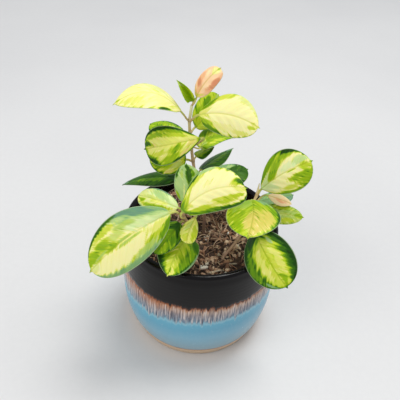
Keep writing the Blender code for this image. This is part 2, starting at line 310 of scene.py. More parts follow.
def pot_profile():
    """Half the pot's section, from the middle of its floor over the lip to the middle of its foot.

    It is level, then a quarter round, the wall's inside, the half round lip, the wall's outside,
    the foot's quarter round, and level again. The second array is 1 on the outside from the lip on.
    """
    top = POT_HEIGHT - LIP_RADIUS
    corner_radius, corner = inner_corner()
    floor = np.column_stack([np.linspace(0, corner_radius, 7), np.full(7, FLOOR_HEIGHT)])
    inner_heights = np.linspace(corner, top, 32)[1:-1]
    inside = np.column_stack([inner_radius(inner_heights), inner_heights])
    outer_heights = np.linspace(top, FOOT_ROUND, 104)[1:-1]
    outside = np.column_stack([wall_radius(outer_heights), outer_heights])
    underside = np.column_stack([np.linspace(FOOT_RADIUS - FOOT_ROUND, 0, 8), np.zeros(8)])
    inner = [floor[:-1], arc((corner_radius, corner), INNER_CORNER, -90, 0, 10), inside,
             arc((RIM_RADIUS - LIP_RADIUS, top), LIP_RADIUS, 180, 90, 10)[:-1]]
    outer = [arc((RIM_RADIUS - LIP_RADIUS, top), LIP_RADIUS, 90, 0, 10), outside,
             arc((FOOT_RADIUS - FOOT_ROUND, FOOT_ROUND), FOOT_ROUND, 0, -90, 9)[:-1], underside]
    sides = [np.zeros(sum(map(len, inner))), np.ones(sum(map(len, outer)))]
    return np.vstack(inner + outer), np.concatenate(sides)


def drips(angle, count, longest, width, seed):
    """How far drips hang below a level line round the pot, in millimetres.

    Each drip is a bell of its own length and width, a random step from its even place.
    """
    random = np.random.default_rng(seed)
    places = (np.arange(count) + random.uniform(-0.45, 0.45, count)) * math.tau / count
    lengths = longest * random.uniform(0.15, 1.0, count) ** 1.5
    widths = width * random.uniform(0.6, 1.4, count)
    away = (angle[:, None] - places + math.pi) % math.tau - math.pi
    return (lengths * np.exp(-(away * BELLY_RADIUS / widths) ** 2)).max(axis=1)


def build_pot():
    """The profile is turned about Z. The glazes' edges are level lines with drips, waves and a
    slow rise to the right, and each glaze stands a little proud of what it covers."""
    profile, outside = pot_profile()
    angle = np.arange(POT_AROUND) * math.tau / POT_AROUND
    front = angle + math.pi / 2
    black = BLACK_EDGE + 0.9 * np.sin(2 * front + 0.4)
    black = black - drips(angle, count=150, longest=3.2, width=1.0, seed=3)
    level = STREAK_EDGE + 4.0 * np.sin(front) + 1.2 * np.sin(3 * front + 1.0)
    streak = level - drips(angle, count=110, longest=6.0, width=1.3, seed=5)
    bare = BARE_EDGE + 0.7 * np.sin(3 * front) + 0.4 * np.sin(8 * front + 1.0)
    radius, height = profile[:, :1], profile[:, 1:]
    below = np.clip(streak - height, 0, None)
    below = (below + (level - 2.5 - streak) * (1 - np.exp(-below / 5))) / BLUE_DEPTH
    run = np.where(height > streak, (height - streak) / (black - streak), -below)
    run = np.where(outside[:, None] > 0, run, 3.0)
    above_foot = np.where(outside[:, None] > 0, height - bare, 40.0)
    rings = np.sin(math.tau * height / RING_PITCH + 0.7 * np.sin(2 * front))
    relief = GLAZE_THICKNESS * smooth(run, 0.93, 1.03) + 0.12 * smooth(run, -0.12, 0.05)
    relief = relief + 0.3 * (smooth(above_foot, 0, 1.2) - 1) + RING_DEPTH * rings
    below_lip = smooth(POT_HEIGHT - LIP_RADIUS - height, 0, 6) * smooth(height, FOOT_ROUND, 9)
    radius = radius + relief * outside[:, None] * below_lip
    flat = np.broadcast_to(height, radius.shape)
    grid = np.stack([radius * np.cos(angle), radius * np.sin(angle), flat], axis=-1)
    return skins("glazed_pot", grid[None], glaze_material(), run=run[None], bare=above_foot[None])


def glaze_material():
    """Black, rust, streaks and blue follow the attribute run, which is 1 at the black glaze's edge,
    0 where its run over the blue ends and -1 a BLUE_DEPTH lower, and is made ragged by upright
    noise. The foot is bare clay."""
    made, tree, shader = new_material("fired_glazes", Specular_IOR_Level=0.2)
    place = node(tree, "TexCoord").outputs["Object"]
    run = attribute(tree, "run")["Fac"]
    bare = attribute(tree, "bare")["Fac"]
    hairs = noise(tree, place, (1250.0, 1250.0, 60.0), 2.0, 0.55)
    teeth = noise(tree, place, (360.0, 360.0, 26.0), 2.0, 0.6)
    clouds = noise(tree, place, 34.0, 3.0)
    shifted = run
    for cause, share in ((hairs, 0.34), (teeth, 0.26), (clouds, 0.08)):
        shifted = nudged(tree, shifted, cause, share)
    glaze = bands(tree, shifted, (
        (-3.2, (150, 168, 176)), (-2.0, (140, 174, 188)), (-1.2, (132, 178, 198)),
        (-0.5, (108, 170, 196)), (-0.16, (108, 176, 200)), (-0.04, (144, 192, 208)),
        (0.10, (112, 140, 158)), (0.26, (136, 144, 156)), (0.50, (156, 146, 146)),
        (0.68, (188, 164, 148)), (0.82, (186, 134, 98)), (0.91, (122, 66, 38)),
        (0.99, (44, 26, 20)), (1.06, (16, 12, 12)), (1.5, (12, 9, 9))))
    at_left = step(tree, node(tree, "SeparateXYZ", {0: place}).outputs[0], 0.0, -0.045)
    glaze = cover(tree, glaze, (176, 104, 60), at_left, step(tree, shifted, 0.35, 0.75),
                  step(tree, shifted, 0.99, 0.9), 0.7)
    in_run = product(tree, step(tree, shifted, 0.0, 0.15), step(tree, shifted, 0.95, 0.8))
    glaze = cover(tree, glaze, (222, 208, 200), step(tree, hairs, 0.53, 0.62), in_run, 0.7)
    glaze = cover(tree, glaze, (66, 58, 70), step(tree, hairs, 0.47, 0.38), in_run, 0.7)
    specks = step(tree, noise(tree, place, 1300.0, 1.0), 0.70, 0.76)
    glaze = cover(tree, glaze, (206, 222, 226), specks, step(tree, run, 0.0, -0.3), 0.5)
    ragged = nudged(tree, bare, clouds, 3.0)
    clay = bands(tree, ragged, ((-9.0, (198, 174, 148)), (-3.5, (222, 196, 166)),
                                (-1.2, (210, 172, 138)), (-0.2, (158, 108, 80)),
                                (1.0, (128, 124, 122))))
    body = mottle(tree, scale=120.0, stretch=1.0, grain=8.0)
    sandy = cover(tree, clay, (150, 118, 84), step(tree, body["Grain"], 0.5, 0.7), 0.35)
    colour = blend(tree, step(tree, ragged, 1.4, 0.2), glaze, sandy)
    gloss = maths(tree, "MULTIPLY_ADD", step(tree, shifted, 1.0, 0.7), 0.16, 0.09)
    gloss = nudged(tree, gloss, body["Blotch"], 0.10)
    rough = node(tree, "Mix", {0: step(tree, ragged, 1.0, 0.0), 2: gloss, 3: 0.85}).outputs[0]
    lead(tree, shader.inputs, Base_Color=colour, Roughness=rough)
    height = maths(tree, "MULTIPLY_ADD", hairs, product(tree, in_run, 0.5), body["Height"])
    bump(tree, shader, height, 0.25, 0.35)
    return made


pot = build_pot()
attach(pot, "root")
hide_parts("pot")


# Soil: a loose mix of bark chips, coir fibre and a few pale mineral bits, filled to a little under
# the rim. A dark bed carries it, and the chips and fibres lie on the bed and half sink into it.
SOIL_EDGE_HEIGHT = 95.0
SOIL_CROWN = 2.0                # how far its middle rises above its edge
SOIL_LUMP = 0.7                 # and its lumps above and below that
SOIL_GAP = 0.3                  # between the soil and the pot
STEM_FEET = np.array([(2, -8), (17, -33), (-4, -13)], float)
KEPT_CLEAR = 2.2                # round each stem's foot
BED_AROUND = 144
BED_RINGS = 56
BED_SHADE = 0.12
CHIP_COUNT = 1000
FIBRE_COUNT = 420
GRIT_COUNT = 46
SPLINTERS = np.array([          # x, y, length, breadth, thickness and shade of each
    (4, -45, 8, 3.2, 2.2, 0.75), (6, -40, 6.5, 2.2, 1.6, 0.5), (12, -47, 14, 1.3, 1.1, 0.35),
    (26, -38, 9, 1.2, 1.0, 0.25), (-22, -36, 7, 2.0, 1.4, 0.4), (-30, 22, 11, 1.4, 1.2, 0.3),
    (24, 36, 8, 1.8, 1.2, 0.5)])


def soil_edge(clearance):
    """Radius of the pot's inside at the soil's top, less a clearance."""
    return float(inner_radius(SOIL_EDGE_HEIGHT)) - clearance


def soil_height(x, y):
    """Height of the soil: a low crown and three crossed waves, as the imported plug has."""
    crown = SOIL_CROWN * (1 - (x ** 2 + y ** 2) / soil_edge(0.0) ** 2)
    waves = np.sin(0.31 * x + 1.0) * np.cos(0.27 * y) + np.sin(0.17 * x - 0.23 * y + 2.0)
    waves = waves + 0.6 * np.sin(0.55 * y + 0.4) * np.cos(0.49 * x - 0.8)
    return SOIL_EDGE_HEIGHT + crown + SOIL_LUMP * waves


def soil_material(name, stops, roughness):
    """Colours follow the attribute shade, one value a chip or fibre, broken up by the mottle."""
    made, tree, shader = new_material(name, Roughness=roughness)
    body = mottle(tree, scale=260.0, stretch=1.0, grain=5.0)
    shade = nudged(tree, attribute(tree, "shade")["Fac"], body["Blotch"], 0.5)
    worn = step(tree, body["Grain"], 0.56, 0.72)
    colour = cover(tree, bands(tree, shade, stops), (140, 114, 92), worn, 0.4)
    lead(tree, shader.inputs, Base_Color=colour)
    bump(tree, shader, body["Height"], 0.5, 0.8)
    return made


def build_bed(material):
    """The plug turned about Z: from its middle below, up along the pot's inside, and over its top,
    which follows soil_height with a finer ripple of crossed sines."""
    angle = np.arange(BED_AROUND) * math.tau / BED_AROUND
    corner = inner_corner()
    wall_heights = np.linspace(corner[1], SOIL_EDGE_HEIGHT, 8)[1:-1]
    wall = np.column_stack([inner_radius(wall_heights) - SOIL_GAP, wall_heights])
    below = np.vstack([(0.0, FLOOR_HEIGHT + SOIL_GAP),
                       arc(corner, INNER_CORNER - SOIL_GAP, -90, 0, 7), wall])
    top_radius = soil_edge(SOIL_GAP) * np.sqrt(np.linspace(1, 0, BED_RINGS))
    radius = np.concatenate([below[:, 0], top_radius])[:, None]
    x, y = radius * np.cos(angle), radius * np.sin(angle)
    ripple = 0.35 * np.sin(1.7 * x + 0.6 * y) * np.cos(1.4 * y - 0.5 * x)
    ripple = ripple + 0.25 * np.sin(2.9 * y + 1.0) * np.cos(3.1 * x)
    z = np.vstack([np.broadcast_to(below[:, 1:], (len(below), BED_AROUND)),
                   (soil_height(x, y) + ripple)[len(below):]])
    return skins("soil_bed", np.stack([x, y, z], axis=-1)[None], material,
                 shade=np.full((1, 1, 1), BED_SHADE))


def strewn(count, reach, random):
    """Places strewn evenly over the soil up to a radius, clear of the stems' feet."""
    radius = reach * np.sqrt(random.uniform(0, 1, 2 * count))
    angle = random.uniform(0, math.tau, 2 * count)
    places = np.column_stack([radius * np.cos(angle), radius * np.sin(angle)])
    nearest = np.linalg.norm(places[:, None] - STEM_FEET, axis=-1).min(axis=1)
    return places[nearest > KEPT_CLEAR][:count]


def turns(yaw, pitch, roll):
    """Rotation matrices, one a piece: roll about X, then pitch about Y, then yaw about Z."""
    turned = np.eye(3)
    for angle, first, second in ((roll, 1, 2), (pitch, 2, 0), (yaw, 0, 1)):
        about = np.zeros((len(angle), 3, 3)) + np.eye(3)
        about[:, [first, second], [first, second]] = np.cos(angle)[:, None]
        about[:, first, second] = -np.sin(angle)
        about[:, second, first] = np.sin(angle)
        turned = about @ turned
    return turned


def chips(name, material, places, sizes, lift, tilt, shade, random):
    """Broken chips: each is a slab with blunt ends, whose rings are rounded oblongs with every
    point pushed in or out at random. sizes holds length, breadth and thickness for each."""
    count, rings, around = len(places), 7, 8
    along = np.linspace(-1, 1, rings)[None, :, None]
    angle = np.arange(around)[None, None, :] * math.tau / around
    girth = np.clip(1 - np.abs(along) ** 4, 0, 1) ** 0.5
    rough = random.uniform(0.72, 1.2, (count, rings, around))
    blunt = (np.sign(np.cos(angle)) * np.abs(np.cos(angle)) ** 0.6,
             np.sign(np.sin(angle)) * np.abs(np.sin(angle)) ** 0.6)
    length, breadth, thickness = (sizes[:, k, None, None] / 2 for k in range(3))
    local = np.stack([np.broadcast_to(along * length, rough.shape) * (0.9 + 0.1 * rough),
                      breadth * girth * blunt[0] * rough, thickness * girth * blunt[1] * rough],
                     axis=-1)
    yaw = random.uniform(0, math.tau, count)
    pitch, roll = random.normal(0, tilt, (2, count))
    turned = np.einsum("nij,nraj->nrai", turns(yaw, pitch, roll), local)
    ground = soil_height(places[:, 0], places[:, 1]) + lift
    centre = np.column_stack([places, ground])[:, None, None]
    return skins(name, turned + centre, material, shade=shade[:, None, None, None])


def strands(name, material, places, lengths, radii, shade, random):
    """Thin fibres: each follows an arc of its own bend over the soil, bowed up in its middle by a
    half sine, and tapers to both ends."""
    count, rings, around = len(places), 10, 4
    share = np.linspace(0, 1, rings)[None]
    bend = random.normal(0, 1.4, (count, 1))
    heading = random.uniform(0, math.tau, (count, 1)) + bend * share
    stride = lengths[:, None] / (rings - 1)
    x = places[:, :1] + np.cumsum(np.cos(heading) * stride, axis=1)
    y = places[:, 1:] + np.cumsum(np.sin(heading) * stride, axis=1)
    reach = soil_edge(1.0)
    shrink = np.minimum(1, reach / np.hypot(x, y))
    x, y = x * shrink, y * shrink
    bow = random.uniform(0.2, 2.6, (count, 1)) * np.sin(math.pi * share)
    z = soil_height(x, y) + 0.7 + bow
    angle = np.arange(around) * math.tau / around
    girth = (radii[:, None] * (0.25 + np.sin(math.pi * share) ** 0.5))[..., None]
    side = np.stack([-np.sin(heading), np.cos(heading)], axis=-1)[:, :, None]
    across = girth * np.cos(angle)
    grid = np.stack([x[..., None] + across * side[..., 0], y[..., None] + across * side[..., 1],
                     z[..., None] + girth * np.sin(angle)], axis=-1)
    return skins(name, grid, material, shade=shade[:, None, None, None])


def build_soil():
    """The bed and all that lies on it. The chips towards the front right are painted paler: painted light,
    as on soil that lies out of the leaves' shade.
    """
    random = np.random.default_rng(11)
    bark = soil_material("soil_bark", ((0.0, (42, 30, 23)), (0.35, (98, 70, 52)),
                                       (0.65, (164, 120, 90)), (1.0, (232, 204, 170))), 0.85)
    pale = soil_material("pale_bits", ((0.0, (150, 128, 100)), (0.5, (196, 184, 160)),
                                       (1.0, (226, 222, 210))), 0.8)
    made = [build_bed(bark)]
    places = strewn(CHIP_COUNT, 55.0, random)
    sizes = [random.uniform(*span, CHIP_COUNT) for span in ((2.5, 8.5), (1.2, 3.8), (0.7, 1.9))]
    # Painted light: the chips towards the front right are painted paler.
    painted_light = 0.18 * np.clip((places[:, 0] - 4) / 20, -0.4, 1) * np.clip(-places[:, 1] / 15, 0, 1)
    lift = random.uniform(-0.3, 1.6, CHIP_COUNT)
    shade = random.uniform(0, 1, CHIP_COUNT) ** 1.5 + painted_light
    made.append(chips("bark_chips", bark, places, np.column_stack(sizes), lift, 0.45, shade, random))
    places = strewn(FIBRE_COUNT, 50.0, random)
    lengths, radii, shade = (random.uniform(*span, FIBRE_COUNT)
                             for span in ((6, 24), (0.12, 0.32), (0.45, 1.0)))
    made.append(strands("coir_fibres", bark, places, lengths, radii, shade, random))
    places = strewn(GRIT_COUNT, 53.0, random)
    sizes = random.uniform(0.9, 2.6, (GRIT_COUNT, 3))
    lift, shade = (random.uniform(*span, GRIT_COUNT) for span in ((0.5, 1.6), (0.5, 1)))
    made.append(chips("pale_grit", pale, places, sizes, lift, 1.0, shade, random))
    lift = np.full(len(SPLINTERS), 2.0)
    made.append(chips("pale_splinters", pale, SPLINTERS[:, :2], SPLINTERS[:, 2:5], lift, 0.25,
                      SPLINTERS[:, 5], random))
    return made


for number, piece in enumerate(build_soil()):
    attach(piece, "root")
    if number == 0:
        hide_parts("soil")


# Stems: three thin woody stems that rise out of the soil and swell where leaves leave them. Their
# bark is greyish brown at the foot and pinkish tan above, and the youngest growth is pale green.
STEM_RADIUS = 1.35
STEM_TIP_RADIUS = 1.0
NODE_SWELL = 1.25
BURIED_NODES = 2
BURIED_LENGTH = 20.0            # this much of a stem is as old as its foot
STEM_STEPS = 14
STEM_AROUND = 20
STEMS = {
    "tall": [(2, -8, 76), (2, -8, 90), (2, -7, 100), (1, -3, 122), (-3.5, -1, 140), (-7, -1, 151),
             (-9.7, 0, 164), (-11.5, 1, 176), (-13, 3, 186), (-13.7, 4, 195.5), (-12.6, 5, 208)],
    "right": [(17, -33, 76), (17, -33, 90), (19, -31, 98), (28, -24, 109), (34, -18, 122),
              (36.5, -11, 127), (38.5, -4, 131), (41, 0.5, 135.5), (42.5, 7, 142.5)],
    "left": [(-4, -13, 76), (-4, -13, 90), (-5, -17, 102), (-6.5, -25, 116), (-8.5, -30, 126),
             (-11, -34, 134.5), (-13, -37, 141), (-14, -39, 146)],
}
STEM_AGE = {"tall": (0.9, 0.0), "right": (0.62, 0.08), "left": (0.9, 0.3)}
STEM_END = {"tall": 1.0, "right": 0.35, "left": 1.0}    # the right one ends in a bare new shoot


def unit(vectors):
    return vectors / np.linalg.norm(vectors, axis=-1, keepdims=True)


def smooth_path(nodes, steps):
    """Points of a Catmull-Rom curve through the nodes, with so many steps between two nodes."""
    nodes = np.array(nodes, float)
    ends = np.vstack([2 * nodes[0] - nodes[1], nodes, 2 * nodes[-1] - nodes[-2]])
    before, here, there, after = (ends[k:len(ends) - 3 + k, None] for k in range(4))
    t = (np.arange(steps) / steps)[None, :, None]
    curve = 0.5 * (2 * here + (there - before) * t
                   + (2 * before - 5 * here + 4 * there - after) * t ** 2
                   + (3 * here - before - 3 * there + after) * t ** 3)
    return np.vstack([curve.reshape(-1, 3), nodes[-1]])


def carried_sides(path, side):
    """Unit vectors square to a path at each of its points: the first is nearest to side, and each
    next one is the last one laid square to the path again, so the rings do not twist."""
    heading = unit(np.gradient(path, axis=0))
    sides = []
    for direction in heading:
        side = side - direction * (side @ direction)
        side = side / np.linalg.norm(side)
        sides.append(side)
    return np.array(sides), np.cross(heading, np.array(sides))


def stem_radius(share):
    return STEM_RADIUS + (STEM_TIP_RADIUS - STEM_RADIUS) * share


def build_stem(name, nodes, material):
    """Rings square to the path. The radius tapers evenly, swells at each node by a bell 4 mm long
    with a sharp ring at its middle, wavers slightly, and shuts in a round at both ends."""
    path = smooth_path(nodes, STEM_STEPS)
    length = np.concatenate([[0], np.cumsum(np.linalg.norm(np.diff(path, axis=0), axis=1))])
    marks = length[STEM_STEPS * (BURIED_NODES + 1)::STEM_STEPS]
    away = (length[:, None] - marks) ** 2
    swell = (NODE_SWELL - 1) * np.exp(-away / 4.5) + 0.08 * np.exp(-away / 0.25)
    girth = stem_radius(length / length[-1]) * (1 + swell.max(axis=1))
    girth = girth * (1 + 0.03 * np.sin(1.9 * length))
    girth = girth * (1 - (1 - STEM_END[name]) * smooth(length, marks[-2] + 1.5, length[-1]))
    girth[[0, -1]] = 0
    girth[[1, -2]] *= 0.75
    side, other = carried_sides(path, np.array([1.0, 0.0, 0.0]))
    angle = np.arange(STEM_AROUND) * math.tau / STEM_AROUND
    out = side[:, None] * np.cos(angle)[:, None] + other[:, None] * np.sin(angle)[:, None]
    grid = path[:, None] + girth[:, None, None] * out
    oldest, youngest = STEM_AGE[name]
    share = np.clip((length - BURIED_LENGTH) / (length[-1] - BURIED_LENGTH), 0, 1)
    age = oldest + (youngest - oldest) * share
    ring = np.exp(-away / 0.8).max(axis=1)
    return skins(f"woody_stem_{name}", grid[None], material, age=age[None, :, None],
                 ring=ring[None, :, None])


def stem_material():
    """Bark by age, drawn out along the stem, with darker rings at the nodes and pale specks."""
    made, tree, shader = new_material("stem_bark", Roughness=0.55)
    body = mottle(tree, scale=420.0, stretch=4.0, grain=3.0)
    age = nudged(tree, attribute(tree, "age")["Fac"], body["Blotch"], 0.12)
    colour = bands(tree, age, ((0.0, (240, 240, 190)), (0.07, (234, 226, 174)),
                               (0.13, (226, 200, 144)), (0.3, (214, 180, 134)),
                               (0.6, (178, 138, 112)), (0.85, (124, 96, 80)),
                               (1.0, (96, 78, 66))))
    colour = cover(tree, colour, (118, 84, 62), attribute(tree, "ring")["Fac"], 0.45)
    colour = cover(tree, colour, (216, 196, 168), step(tree, body["Grain"], 0.62, 0.72), 0.4)
    lead(tree, shader.inputs, Base_Color=colour)
    bump(tree, shader, body["Height"], 0.2, 0.5)
    return made


bark_of_stems = stem_material()
for name, nodes in STEMS.items():
    stem = build_stem(name, nodes, bark_of_stems)
    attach(stem, "root")
    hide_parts(f"stem_{name}")


# Leaves: thick waxy blades on short stalks, in pairs at the stems' nodes. They grew cream in the
# middle and green round the margins, broken along their veins, and the youngest are still pink.
# A stalk grows out of its stem and runs on under its blade as the midrib.
STALK_RUN = 0.18                # share of the blade's length that sets the stalk's last heading
STALK_STEPS = 18
STALK_START = 0.8               # how far below its node it starts inside the stem
STALK_REACH = 0.42              # of the way between its ends, to each inner point of its curve
BLADE_THICKNESS = 1.2
LEAF_RINGS = 34                 # along a blade, and DENSITY more for each millimetre of length
LEAF_POINTS = 26                # across one face, and DENSITY more for each millimetre of width
DENSITY = 0.9
BODY_END = 0.965                # the round blade ends here, and a short drip tip follows
DRIP_START = 0.90
DRIP_WIDTH = 0.16
EDGE_DROP = 0.16
VEIN_SLANT = 0.9                # side veins leave the midrib at about 45 degrees
VEIN_BEND = 0.012
VEIN_PITCH = 6.5
VEIN_SWELL = 0.12               # how far the blade swells between two side veins
EDGE_WAVE = 0.35
GROOVE_DEPTH = 0.32             # the midrib's groove in the upper face
RIDGE_DEPTH = 0.55              # and its ridge under the blade
STALK_RADIUS = 0.55
STALK_GROWTH = 0.011            # what each millimetre of the blade's width adds to that
LEAVES = [  # name, which begins with the stem's, node, base, tip, width, turn, arch, sweep, outline powers
    ("tall_01", 10, (-9.5, 4, 214.5), (5.5, 12, 233), 14.5, -25, 0.05, 0.05, (0.5, 0.38)),
    ("tall_02", 10, (-12, 5, 210.5), (-24, 8, 224), 13, 80, 0.03, -0.10, (0.45, 1.0)),
    ("tall_03", 9, (-7, 0, 203), (34, -14, 204), 29, -55, 0.05, 0.10, (0.62, 0.56)),
    ("tall_04", 9, (-20, 0, 205), (-65, -8, 210.5), 30, 5, 0.24, -0.04, (0.72, 0.68)),
    ("tall_05", 8, (-9.5, 10, 187), (6, 32, 203), 23, -55, 0.05, -0.04, (0.5, 0.45)),
    ("tall_06", 7, (-5, 3, 174), (21, 22, 172), 19, -12, 0.04, 0.16, (0.45, 0.85)),
    ("tall_07", 7, (-5, -8, 189), (-44, -14, 181), 27.5, 55, 0.06, 0.0, (0.95, 0.42)),
    ("tall_08", 8, (-19, 9, 177), (-45, 28, 176), 22, 10, 0.05, 0.0, (0.5, 0.6)),
    ("tall_09", 6, (-15, 4, 162), (-43, 1, 164), 25, 55, 0.03, 0.0, (0.5, 0.5)),
    ("tall_10", 5, (-19, 6, 142), (-67, 18, 122), 18, 5, 0.08, 0.0, (0.5, 0.85)),
    ("tall_11", 5, (-3.5, 7, 151), (21, 28, 159), 22, 25, 0.02, 0.0, (0.5, 0.85)),
    ("tall_12", 4, (4, 12, 134), (35, 30, 138), 26, -10, 0.08, 0.0, (0.5, 0.55)),
    ("tall_13", 6, (-7.5, 3, 166), (5.5, 13, 169), 12, 5, 0.03, 0.0, (0.35, 0.9)),
    ("left_01", 6, (-14, -45, 153), (29, -38, 172), 30.5, -45, 0.05, 0.15, (0.64, 0.41)),
    ("left_02", 7, (-13, -33, 150), (-14, -18, 175), 21, 10, 0.03, -0.08, (0.7, 0.6)),
    ("left_03", 6, (-17.5, -38, 150.5), (-47, -28, 151), 17, 30, 0.12, 0.01, (0.55, 0.42)),
    ("left_04", 7, (-22, -48, 154), (-76.5, -68, 110.5), 39, 40, 0.04, -0.05, (0.65, 0.52)),
    ("left_05", 5, (-5, -41, 144.5), (-10, -54.5, 132), 12.5, 10, 0.08, -0.05, (0.7, 0.42)),
    ("left_06", 5, (-15.5, -41.5, 139.5), (-32, -60, 125), 17, 40, 0.05, 0.0, (0.5, 0.6)),
    ("left_07", 3, (-9, -34, 121), (-22, -68, 112), 30, 20, 0.06, -0.05, (0.42, 0.6)),
    ("right_01", 7, (44, 2, 140.5), (78.5, 4, 169), 33.5, -50, 0.06, 0.05, (0.8, 0.56)),
    ("right_02", 6, (50, 2, 134.5), (69.5, 0, 129), 10, -20, 0.02, 0.0, (0.6, 0.6)),
    ("right_03", 7, (44, 8, 122.5), (73.5, 18, 124), 16, -5, 0.02, 0.0, (0.5, 0.5)),
    ("right_04", 5, (46, -4, 123), (79, -8, 123), 17, -30, 0.05, 0.0, (0.5, 0.6)),
    ("right_05", 6, (37, -8, 136.5), (32, -50, 136.5), 40.5, -5, 0.05, 0.055, (0.42, 0.6)),
    ("right_06", 4, (39, -36.5, 131), (65, -62.5, 102), 36.5, -45, 0.05, -0.03, (0.55, 0.5)),
]
# The slate and sage tints are painted sheen: the bluish grey of a bright sky reflected on dark and
# mid-green margins. The snow tint, paler than cream, is painted light.
TINTS = {                       # tone from dark green to cream, and milk: 1 is mint, -1 is pink
    "dark": (0.08, 0.0), "deep": (0.22, 0.0), "green": (0.37, 0.0), "bright": (0.50, 0.0),
    "lime": (0.62, 0.0), "gold": (0.69, 0.0), "yellow": (0.79, 0.0), "butter": (0.88, 0.0),
    "cream": (0.97, 0.0), "straw": (0.71, 0.42), "fresh": (0.62, 0.45), "slate": (0.26, 0.9),
    "sage": (0.40, 0.85), "haze": (0.66, 0.8), "mint": (0.80, 0.85), "milk": (0.92, 0.85),
    "pale": (0.86, 0.4), "snow": (1.04, 0.6), "grey_shade": (0.54, 0.36), "moss": (0.44, 0.0),
    "wheat": (0.75, -0.4), "khaki": (0.65, -0.42), "olive": (0.54, -0.2),
    "dusky": (0.46, -1.0), "rose": (0.64, -1.0), "peach": (0.84, -1.0), "blush": (1.02, -0.9),
}
